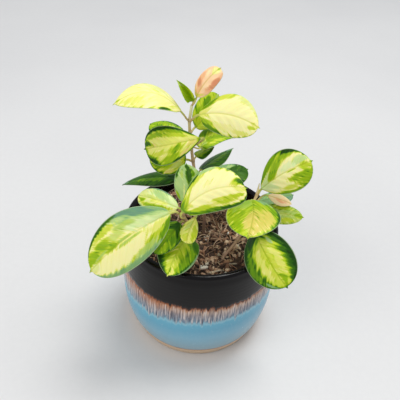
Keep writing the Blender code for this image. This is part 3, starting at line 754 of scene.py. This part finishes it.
MARKS = {
    # tint of the middle, tint of the margins, and where the margins start: at v, at -v, at u
    # from the base and at u towards the tip. Then patches: u, v and their reach each way, all in
    # hundredths, and tint.
    "tall_01": ("peach", "rose", (0.97, 0.90, 0.0, 0.99), [
        (2, 0, 9, 120, "khaki"), (25, 34, 22, 50, "rose"), (36, 60, 16, 44, "dusky"),
        (55, 66, 18, 40, "rose"), (68, 45, 13, 30, "blush"), (38, -75, 22, 40, "rose"),
        (60, -78, 28, 36, "dusky"), (86, 10, 20, 80, "butter"), (97, -10, 10, 50, "fresh")]),
    "tall_02": ("bright", "bright", (0.95, 0.95, 0.02, 0.97), [
        (30, -80, 30, 50, "lime"), (82, 20, 22, 60, "fresh")]),
    "tall_03": ("cream", "deep", (0.99, 0.97, 0.0, 0.985), [
        (3, 10, 14, 80, "yellow"), (14, 80, 20, 40, "moss"), (35, 86, 20, 24, "gold"),
        (12, -62, 19, 30, "bright"), (20, -90, 30, 20, "green"), (44, -62, 28, 28, "butter"),
        (70, -76, 18, 20, "yellow"), (89, -40, 14, 24, "lime"), (92, -12, 10, 32, "yellow"),
        (76, 92, 32, 28, "pale")]),
    "tall_04": ("butter", "lime", (0.99, 0.99, 0.0, 0.985), [
        (3, 20, 10, 80, "yellow"), (75, 55, 24, 36, "yellow"), (35, -50, 28, 34, "pale"),
        (27, 92, 15, 13, "deep"), (95, 0, 8, 50, "lime")]),
    "tall_05": ("lime", "green", (0.94, 0.95, 0.02, 0.97), [
        (64, 54, 22, 32, "green"), (28, 62, 24, 26, "bright"), (92, 20, 10, 50, "fresh"),
        (40, -40, 30, 30, "gold")]),
    "tall_06": ("bright", "green", (0.92, 0.95, 0.03, 0.97), [
        (28, 78, 30, 42, "green"), (78, 4, 20, 34, "green"), (45, 30, 16, 20, "lime"),
        (48, -60, 32, 26, "lime"), (12, -6, 14, 30, "fresh"), (50, 102, 60, 14, "deep"),
        (80, 50, 20, 24, "fresh")]),
    "tall_07": ("yellow", "deep", (0.86, 0.80, 0.04, 0.95), [
        (16, 20, 17, 42, "wheat"), (32, 72, 15, 20, "wheat"), (45, 33, 13, 36, "bright"),
        (58, 72, 20, 31, "bright"), (42, 94, 20, 14, "deep"), (86, 62, 10, 28, "green"),
        (90, 86, 12, 20, "dark"), (73, 38, 19, 24, "gold"), (84, -14, 12, 24, "wheat"),
        (44, -50, 27, 16, "lime"), (76, -60, 21, 21, "bright"), (45, -74, 24, 17, "bright"),
        (68, -93, 40, 16, "dark"), (94, -44, 7, 45, "deep")]),
    "tall_08": ("bright", "deep", (0.88, 0.86, 0.03, 0.94), [
        (34, 40, 30, 40, "lime"), (66, 10, 22, 50, "moss"), (30, -40, 30, 34, "fresh")]),
    "tall_09": ("gold", "deep", (0.86, 0.90, 0.03, 0.95), [
        (26, 45, 26, 44, "straw"), (52, 40, 22, 26, "bright"), (74, 55, 18, 26, "moss"),
        (40, 76, 20, 18, "wheat"), (60, -40, 36, 36, "moss")]),
    "tall_10": ("deep", "dark", (0.84, 0.88, 0.04, 0.98), [
        (42, 26, 36, 32, "green"), (6, 0, 16, 100, "dark"), (92, 0, 12, 80, "slate")]),
    "tall_11": ("deep", "dark", (0.94, 0.92, 0.03, 0.98), [
        (45, -25, 42, 36, "green"), (25, 50, 35, 35, "dark"), (90, 0, 14, 80, "slate")]),
    # tall_12's sage and haze patches are painted highlights, a teal sheen on its dark face.
    "tall_12": ("deep", "deep", (0.94, 0.90, 0.04, 0.96), [
        (50, 76, 42, 30, "sage"), (62, 62, 16, 20, "haze"), (35, -30, 25, 50, "deep"),
        (86, 20, 12, 40, "deep")]),
    "tall_13": ("bright", "deep", (0.90, 0.50, 0.03, 0.96), [
        (30, 30, 30, 50, "fresh"), (80, 10, 24, 60, "green")]),
    "left_01": ("cream", "deep", (0.95, 0.88, 0.05, 0.97), [
        (3, 20, 17, 90, "lime"), (-2, 20, 15, 95, "green"), (9, -86, 32, 46, "green"),
        (42, -92, 36, 22, "green"), (27, -66, 22, 19, "lime"), (65, -60, 21, 20, "lime"),
        (56, -48, 18, 10, "gold"), (80, -50, 19, 17, "lime"), (90, -20, 11, 26, "yellow"),
        (88, 36, 9, 52, "lime"), (95, 62, 8, 56, "deep"), (30, 80, 24, 21, "gold"),
        (30, 99, 23, 17, "deep"), (54, 93, 19, 13, "haze"), (48, 35, 13, 16, "butter"),
        (72, -98, 38, 18, "deep")]),
    "left_02": ("haze", "sage", (0.97, 0.92, 0.03, 0.97), [
        (25, 28, 30, 9, "pale"), (22, 84, 13, 20, "bright"), (75, 90, 15, 15, "deep"),
        (74, 50, 15, 20, "fresh"), (74, -8, 36, 38, "deep"), (78, -42, 13, 22, "green"),
        (52, -62, 24, 26, "green"), (94, 24, 9, 30, "deep")]),
    "left_03": ("pale", "sage", (0.95, 0.94, 0.0, 0.98), [
        (38, -50, 40, 50, "haze"), (5, -20, 22, 80, "milk"), (17, -66, 18, 34, "milk"),
        (45, 14, 30, 18, "yellow"), (64, -14, 22, 22, "straw"), (48, 62, 50, 34, "bright"),
        (84, 40, 13, 34, "bright"), (93, 70, 9, 30, "butter"), (45, -97, 50, 12, "slate")]),
    # left_04's sage margin and its slate and sage patches along the edges are painted sheen.
    "left_04": ("cream", "sage", (0.80, 0.90, 0.01, 0.975), [
        (20, -34, 38, 56, "milk"), (3, -20, 12, 100, "mint"), (10, -58, 26, 32, "haze"),
        (30, -86, 42, 42, "slate"), (4, -92, 17, 36, "sage"), (42, -48, 17, 18, "fresh"),
        (51, -74, 20, 18, "haze"), (58, -32, 18, 24, "straw"), (53, -5, 20, 9, "fresh"),
        (66, -12, 12, 24, "bright"), (74, -38, 14, 32, "bright"), (90, -44, 12, 60, "bright"),
        (80, -12, 16, 10, "fresh"), (66, -72, 22, 17, "gold"), (72, -97, 36, 17, "deep"),
        (46, 10, 20, 8, "fresh"), (5, 76, 26, 46, "green"), (23, 58, 18, 20, "lime"),
        (37, 73, 22, 18, "fresh"), (15, 28, 18, 28, "yellow"), (94, 25, 10, 45, "pale"),
        (60, 96, 48, 19, "sage")]),
    "left_05": ("yellow", "lime", (0.90, 0.94, 0.0, 0.97), [
        (30, -30, 30, 50, "straw"), (50, 60, 50, 40, "lime"), (80, -30, 22, 50, "gold")]),
    "left_06": ("moss", "dark", (0.90, 0.93, 0.03, 0.97), [
        (30, 50, 40, 40, "green"), (70, 36, 22, 36, "bright"), (50, -64, 38, 30, "green"),
        (10, 0, 16, 80, "deep")]),
    "left_07": ("bright", "deep", (0.76, 0.58, 0.08, 0.99), [
        (36, 10, 34, 40, "lime"), (60, 0, 32, 44, "lime"), (78, -10, 24, 40, "gold"),
        (70, 24, 15, 20, "gold"), (90, 40, 10, 44, "yellow"), (34, 66, 36, 28, "moss"),
        (62, 64, 28, 24, "moss"), (86, 6, 7, 10, "moss"), (13, 72, 20, 40, "deep"),
        (80, -92, 32, 26, "dark"), (58, 98, 40, 9, "sage"), (99, 0, 5, 100, "butter")]),
    # right_01's snow patch, paler than cream, is painted light on a leaf that lies in shade.
    "right_01": ("cream", "deep", (0.84, 0.90, 0.0, 0.965), [
        (4, 0, 25, 90, "milk"), (62, 20, 26, 24, "snow"), (30, 30, 17, 40, "bright"),
        (44, 56, 22, 36, "bright"), (62, 75, 24, 27, "bright"), (26, 84, 34, 34, "moss"),
        (72, 90, 18, 17, "dark"), (84, 42, 16, 44, "mint"), (88, -22, 12, 50, "lime"),
        (71, -46, 26, 26, "bright"), (80, -76, 27, 30, "bright"), (48, -72, 20, 16, "gold"),
        (42, -97, 34, 14, "moss"), (62, -6, 12, 4, "moss")]),
    "right_02": ("blush", "blush", (0.90, 0.90, 0.0, 0.98), [
        (55, -10, 40, 55, "peach"), (50, -30, 30, 36, "rose"), (97, 0, 6, 60, "butter")]),
    "right_03": ("sage", "slate", (0.80, 0.80, 0.03, 0.95), [
        (40, 30, 22, 28, "fresh"), (72, -40, 26, 34, "slate"), (60, 10, 16, 20, "haze")]),
    "right_04": ("fresh", "bright", (0.94, 0.96, 0.03, 0.96), [
        (50, 62, 34, 28, "lime"), (45, 0, 40, 20, "straw"), (86, 0, 12, 70, "bright"),
        (62, -60, 24, 30, "lime")]),
    # right_05 is painted in muted olive, khaki and grey tints: painted shade, for a leaf that lies in
    # shade.
    "right_05": ("olive", "green", (0.92, 0.97, 0.0, 0.965), [
        (10, -40, 36, 70, "grey_shade"), (4, 66, 15, 50, "sage"), (72, 34, 42, 66, "khaki"),
        (62, -8, 32, 40, "khaki"), (50, 60, 26, 34, "khaki"), (84, -6, 12, 44, "khaki"),
        (24, 80, 20, 26, "moss"), (36, 97, 40, 12, "deep"), (92, 80, 14, 26, "lime"),
        (46, -46, 20, 26, "bright"), (66, -62, 36, 28, "bright"), (94, -50, 8, 50, "lime"),
        (30, -97, 34, 12, "lime")]),
    "right_06": ("gold", "deep", (0.60, 0.57, 0.0, 0.95), [
        (1, -20, 17, 100, "dark"), (20, 46, 9, 15, "haze"), (52, 36, 36, 20, "yellow"),
        (50, -32, 38, 20, "yellow"), (48, 0, 45, 6, "lime"), (84, 22, 17, 21, "bright"),
        (50, -80, 45, 19, "green"), (22, -92, 26, 22, "dark"), (87, -74, 13, 13, "sage"),
        (50, 96, 60, 22, "dark")]),
}
PINK_LEAVES = ("tall_01", "right_02")
FOLDED = {"tall_02": 55, "tall_06": 22}         # degrees that each half is still folded up


def leaf_axes(base, tip, turn):
    """Length, and unit vectors along the blade, across it and out of its upper face."""
    along = unit(tip - base)
    level = unit(np.cross((0.0, 0.0, 1.0), along))
    upward = np.cross(along, level)
    angle = math.radians(turn)
    across = level * math.cos(angle) - upward * math.sin(angle)
    outward = upward * math.cos(angle) + level * math.sin(angle)
    return np.linalg.norm(tip - base), along, across, outward


def half_width(u, width, powers):
    """Half the blade's width at a share u of its length: u to one power times (1 - u) to another,
    scaled to the leaf's width, or the straight drip tip where that is wider."""
    towards_base, towards_tip = powers
    body = np.clip(u / BODY_END, 0, 1)
    widest = towards_base / (towards_base + towards_tip)
    peak = widest ** towards_base * (1 - widest) ** towards_tip
    round_part = body ** towards_base * (1 - body) ** towards_tip / peak
    drip = np.where(u > DRIP_START, DRIP_WIDTH * (1 - u) / (1 - DRIP_START), 0)
    return width / 2 * np.maximum(round_part, drip)


def stalk_path(stem, number, base, heading):
    """A Bezier curve from inside the stem at its node. It leaves the more steeply the higher the
    blade's base lies, and meets the base along the midrib's own heading."""
    nodes = np.array(STEMS[stem], float)
    origin = nodes[number]
    grown = unit(nodes[min(number + 1, len(nodes) - 1)] - nodes[number - 1])
    away = base - origin
    climb = unit(away) @ grown
    away = unit(away - grown * (away @ grown))
    leaving = unit(away + max(1.3 * climb, 0.1) * grown)
    start = origin - grown * STALK_START
    reach = STALK_REACH * np.linalg.norm(base - start)
    t = np.linspace(0, 1, STALK_STEPS)[:, None]
    return ((1 - t) ** 3 * start + 3 * (1 - t) ** 2 * t * (start + leaving * reach)
            + 3 * (1 - t) * t ** 2 * (base - heading * reach) + t ** 3 * base)


def mark_field(name, u, v, vein, slant):
    """Tone, milk and tornness at each u and v: the middle's tint, the margins' tint past where
    they start, and over them each patch, full inside and fading to nothing at its reach. A patch
    leans with the side veins, by slant times |v|. Sines of the vein coordinate push the outlines
    out and in, in tongues that lie along the veins. Tornness is 1 half way through a fade, where
    one tint breaks up into the next."""
    middle, margin, (far, near, start, end), patches = MARKS[name]
    tongues = 0.5 * np.sin(0.93 * vein + 2.0 * v) + 0.32 * np.sin(1.57 * vein - 3.0 * v + 1.3)
    tongues = tongues + 0.18 * np.sin(2.4 * vein + 0.7)
    past = np.maximum(np.maximum(v - far, -v - near) / 0.2 + 0.5 * tongues,
                      np.maximum(start - u, u - end) / 0.06)
    share = smooth(past, -0.7, 0.7)[..., None]
    field = np.array(TINTS[middle]) * (1 - share) + np.array(TINTS[margin]) * share
    torn = 4 * share * (1 - share)
    for number, (*place, tint) in enumerate(patches):
        along, across, reach, breadth = np.array(place) / 100
        lean = slant * (np.abs(v) - abs(across))
        away = np.hypot((u - along - lean) / reach, (v - across) / breadth)
        away = away * (1 + 0.24 * np.roll(tongues, 5 * number, axis=0))
        share = smooth(1 - away, 0, 0.55)[..., None]
        field = field * (1 - share) + np.array(TINTS[tint]) * share
        torn = np.maximum(torn * (1 - share), 4 * share * (1 - share))
    return np.concatenate([field, torn], axis=-1)


def leaf_path(stem, at_node, base, tip, turn, arch, sweep):
    """Points up the stalk and along the midrib, u at each of them, how far the stalk has turned
    into the blade there, and unit vectors across the blade and out of its upper face. u runs from
    -1 to 0 up the stalk and to 1 at the tip, and the midrib arches and sweeps by parabolas of it."""
    length, along, across, outward = leaf_axes(base, tip, turn)
    rings = int(LEAF_RINGS + DENSITY * length)
    u = 0.5 - 0.5 * np.cos(np.pi * np.linspace(0, 1, rings))[:, None]
    bow = 4 * u * (1 - u) * length
    midrib = base + length * u * along + sweep * bow * across + arch * bow * outward
    bow = STALK_RUN * (2 - STALK_RUN) * length
    heading = unit(STALK_RUN / 2 * length * along + (sweep * across + arch * outward) * bow)
    stalk = stalk_path(stem, at_node, base, heading)
    path = np.vstack([stalk, midrib[1:]])
    side, under = carried_sides(path[len(stalk)::-1], across)
    side, above = side[:0:-1], -under[:0:-1]
    side = np.vstack([side, np.repeat(side[-1:], rings - 1, axis=0)])
    above = np.vstack([above, np.repeat(above[-1:], rings - 1, axis=0)])
    u = np.vstack([np.linspace(-1, 0, len(stalk))[:, None], u[1:]])
    grown = smooth(u, 0, 0.1)
    side = unit(side * (1 - grown) + across * grown)[:, None]
    above = unit(above * (1 - grown) + outward * grown)[:, None]
    return path[:, None], u, grown, side, above


def build_leaf(leaf, number, material):
    """One closed skin whose rings run up the stalk and along the midrib.

    A ring is an oval that turns from the stalk's circle into the blade's thin section, half its
    width times v sideways and a power of (1 - v^2) up or down. The margins hang below the midrib
    by a parabola of the side and wave by a slow sine, a groove on top and a ridge below follow
    the midrib, and the blade swells a little between its side veins.
    """
    name, at_node, base, tip, width, turn, arch, sweep, powers = leaf
    base, tip = np.array(base, float), np.array(tip, float)
    stem = name.split("_")[0]
    path, u, grown, side, above = leaf_path(stem, at_node, base, tip, turn, arch, sweep)
    length = math.dist(base, tip)
    around = 2 * int(LEAF_POINTS + DENSITY * width)
    half = np.arange(around // 2) / (around // 2)
    v = 1 - 2 * half + 0.4 * np.sin(math.tau * half) / np.pi
    v = np.concatenate([v, -v])[None]
    face = np.repeat([1.0, -1.0], around // 2)[None]
    blade_half = half_width(np.clip(u, 0, 1), width, powers)
    stalk_radius = STALK_RADIUS + STALK_GROWTH * width
    wide = np.hypot(blade_half, stalk_radius * (1 - grown))
    thick = stalk_radius + (BLADE_THICKNESS / 2 - stalk_radius) * grown
    thick = thick * np.minimum(1, wide / 1.6) ** 0.5
    sideways = wide * v
    vein = length * u - VEIN_SLANT * np.abs(sideways) - VEIN_BEND * sideways ** 2
    tapering = grown * (1 - 0.7 * np.clip(u, 0, 1)) * smooth(1 - u, 0, 0.1)
    rise = face * thick * np.clip(1 - v ** 2, 0, 1) ** (0.5 - 0.15 * grown)
    rise = rise - EDGE_DROP * (blade_half * v) ** 2 / (width / 2)
    midrib = np.where(face > 0, GROOVE_DEPTH * np.exp(-sideways ** 2),
                      RIDGE_DEPTH * np.exp(-sideways ** 2 / 1.4))
    rise = rise - midrib * tapering
    swell = VEIN_SWELL * np.cos(math.tau * vein / VEIN_PITCH) * (1 - v ** 2)
    swell = swell * smooth(np.abs(sideways), 0, 3)
    wave = EDGE_WAVE * v ** 2 * np.sin(math.tau * 1.2 * u + 1.7 * number) * np.sign(v)
    rise = rise + (swell + wave) * grown
    fold = math.radians(FOLDED.get(name, 0)) * grown
    rise = rise + np.abs(sideways) * np.sin(fold)
    rise[[0, -1]] = 0
    spread = sideways * np.cos(fold)
    spread[[0, -1]] = 0
    grid = path + spread[..., None] * side + rise[..., None] * above
    u = u * np.ones_like(rise)
    v = v * np.ones_like(rise)
    place = np.stack([vein, np.abs(sideways), 9.7 * number + 2.1 * np.sign(v)], axis=-1)
    rib = np.stack([v, u, face * np.ones_like(rise)], axis=-1)
    slant = VEIN_SLANT * blade_half / length
    marks = mark_field(name, np.clip(u, 0, 1), v, vein, slant)
    return skins(f"waxy_leaf_{name}", grid[None], material, mark=marks[None], place=place[None],
                 rib=rib[None])


def leaf_skin_group():
    """Colour, roughness and height of a leaf's skin, from the three attributes of its points."""
    group, taken, given = new_group("waxy_leaf_skin", {"Feather": "Float"}, {
        "Colour": "Color", "Roughness": "Float", "Height": "Float"})
    tone, milk, torn = node(group, "SeparateXYZ", {0: attribute(group, "mark")["Vector"]}).outputs
    place = attribute(group, "place")["Vector"]
    vein, off_midrib, _ = node(group, "SeparateXYZ", {0: place}).outputs
    across, along, face = node(group, "SeparateXYZ", {0: attribute(group, "rib")["Vector"]}).outputs
    feather = maths(group, "SUBTRACT", noise(group, place, (0.42, 0.10, 1.0), 3.0, 0.6), 0.5)
    fine = maths(group, "SUBTRACT", noise(group, place, (1.5, 0.22, 1.0), 2.0, 0.6), 0.5)
    cloud = maths(group, "SUBTRACT", noise(group, place, (0.16, 0.13, 1.0), 2.0), 0.5)
    broken = maths(group, "MULTIPLY_ADD", fine, 0.5, feather)
    torn = maths(group, "MULTIPLY_ADD", torn, 0.95, 0.16)
    broken = product(group, broken, torn, taken["Feather"])
    tone = maths(group, "ADD", maths(group, "MULTIPLY_ADD", cloud, 0.16, tone), broken)
    colour = bands(group, tone, (
        (0.0, (18, 50, 6)), (0.16, (36, 84, 8)), (0.30, (68, 118, 6)), (0.42, (112, 158, 6)),
        (0.50, (144, 180, 8)), (0.60, (182, 204, 30)), (0.70, (208, 218, 70)),
        (0.80, (232, 232, 118)), (0.92, (250, 243, 162)), (1.1, (254, 247, 186))))
    # Milky colours: at their pale end the leaf's own mint variegation, at their dark end painted sheen,
    # the bluish grey of a bright sky reflected on green.
    milky = bands(group, tone, (
        (0.0, (62, 100, 70)), (0.25, (104, 148, 116)), (0.5, (146, 186, 108)),
        (0.8, (200, 222, 140)), (1.0, (224, 236, 172))))
    rosy = bands(group, tone, (
        (0.45, (216, 142, 100)), (0.65, (242, 184, 134)), (0.85, (252, 212, 164)),
        (1.1, (254, 232, 178))))
    mint = maths(group, "MULTIPLY_ADD", broken, 0.8, milk)
    pink = maths(group, "SUBTRACT", product(group, broken, 0.5), milk)
    colour = blend(group, step(group, mint, 0.15, 0.75), colour, milky)
    colour = blend(group, step(group, pink, 0.15, 0.8), colour, rosy)
    lines = step(group, maths(group, "PINGPONG", vein, VEIN_PITCH / 2), 0.5, 0.0)
    lines = product(group, lines, step(group, off_midrib, 1.0, 4.0))
    on_pale = maths(group, "MULTIPLY_ADD", tone, 0.10, 0.02)
    colour = cover(group, colour, (210, 224, 120), lines, on_pale)
    midrib = product(group, step(group, off_midrib, 0.8, 0.1), 0.8)
    colour = blend(group, midrib, colour, paint(222, 226, 176), "MULTIPLY")
    rim = step(group, maths(group, "ABSOLUTE", across), 0.965, 0.985)
    colour = cover(group, colour, (196, 216, 170), rim, step(group, along, 0.0, 0.05), 0.6)
    colour = cover(group, colour, (176, 194, 128), step(group, face, 0.2, -0.2), 0.5)
    stalk = bands(group, along, ((-1.0, (204, 164, 120)), (-0.6, (208, 188, 120)),
                                 (0.0, (198, 206, 104))))
    colour = blend(group, step(group, along, 0.03, -0.01), colour, stalk)
    rough = maths(group, "MULTIPLY_ADD", cloud, 0.3, 0.40)
    height = maths(group, "MULTIPLY_ADD", lines, -0.6, product(group, fine, 0.5))
    lead(group, given, Colour=colour, Roughness=rough, Height=height)
    return group


def leaf_material(name, skin, feather):
    made, tree, shader = new_material(name, Subsurface_Weight=0.1, Subsurface_Scale=0.002,
                                       Specular_IOR_Level=0.18)
    looks = node(tree, "Group", {"Feather": feather}, node_tree=skin).outputs
    lead(tree, shader.inputs, Base_Color=looks["Colour"], Roughness=looks["Roughness"])
    bump(tree, shader, looks["Height"], 0.12, 0.6)
    return made


leaf_skin = leaf_skin_group()
grown_leaf = leaf_material("grown_leaf", leaf_skin, 1.0)
young_leaf = leaf_material("young_leaf", leaf_skin, 0.5)
for number, leaf in enumerate(LEAVES):
    young = leaf[0] in PINK_LEAVES
    piece = build_leaf(leaf, number, young_leaf if young else grown_leaf)
    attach(piece, "root")
    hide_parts(f"leaf_{leaf[0]}")


# Studio: a plain pale floor, a wide soft light above and a little behind the plant, a softer one
# from the front left, and a camera that looks down on the plant as the photographer did. The
# floor and the lights are placed in metres.
FLOOR_SIZE = 6.0
PLANT_MIDDLE = (0.0, 0.0, 0.12)
SKY_STRENGTH = 0.6
CAMERA_AIM = (-2.6, 0.0, 127.0)
CAMERA_DISTANCE = 392.0
CAMERA_PITCH = 40.0
CAMERA_ROLL = 3.9
CAMERA_LENS = 45.0


def build_floor():
    """A level square that the pot stands on, pale grey with a faint broad mottle."""
    made, tree, shader = new_material("pale_floor", Roughness=0.6)
    body = mottle(tree, scale=3.0, stretch=1.0, grain=60.0)
    colour = bands(tree, body["Height"], ((0.3, (214, 213, 212)), (1.0, (226, 225, 223))))
    lead(tree, shader.inputs, Base_Color=colour)
    half = FLOOR_SIZE / 2
    mesh = bpy.data.meshes.new("floor")
    corners = [(-half, -half, 0), (half, -half, 0), (half, half, 0), (-half, half, 0)]
    mesh.from_pydata(corners, [], [(0, 1, 2, 3)])
    mesh.materials.append(made)
    return placed("floor", mesh)


def soft_light(name, place, size, power, colour):
    """A round area light that looks at the middle of the plant."""
    lamp = bpy.data.lights.new(name, "AREA")
    lamp.shape = "DISK"
    lamp.size = size
    lamp.energy = power
    lamp.color = colour
    made = placed(name, lamp)
    made.location = place
    made.rotation_euler = (Vector(place) - Vector(PLANT_MIDDLE)).to_track_quat("Z", "Y").to_euler()


def build_camera():
    """Looks at its aim from in front, pitched down and rolled a little."""
    camera = bpy.data.cameras.new("camera")
    camera.lens = CAMERA_LENS
    camera.clip_start = 0.01
    made = placed("camera", camera)
    tilt = Matrix.Rotation(math.radians(90 - CAMERA_PITCH), 4, "X")
    roll = Matrix.Rotation(math.radians(CAMERA_ROLL), 4, "Z")
    back = Matrix.Translation((0.0, 0.0, CAMERA_DISTANCE * MM))
    made.matrix_world = Matrix.Translation(Vector(CAMERA_AIM) * MM) @ tilt @ roll @ back
    bpy.context.scene.camera = made


def build_sky():
    world = bpy.data.worlds.new("soft_room")
    world.use_nodes = True
    background = world.node_tree.nodes["Background"]
    background.inputs["Color"].default_value = paint(236, 240, 246)
    background.inputs["Strength"].default_value = SKY_STRENGTH
    bpy.context.scene.world = world


build_floor()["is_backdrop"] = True
soft_light("overhead", place=(0.3, 0.3, 1.5), size=0.7, power=13.0, colour=(1.0, 1.0, 1.0))
soft_light("front_left", place=(-1.1, -1.0, 1.3), size=1.4, power=10.0, colour=(1.0, 0.98, 0.95))
bpy.context.scene.view_settings.view_transform = "Standard"
build_sky()
build_camera()
boxes = {"cad": cad_bounds, "visual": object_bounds()}
boxes = {key: [list(map(float, corner)) for corner in box] for key, box in boxes.items()}
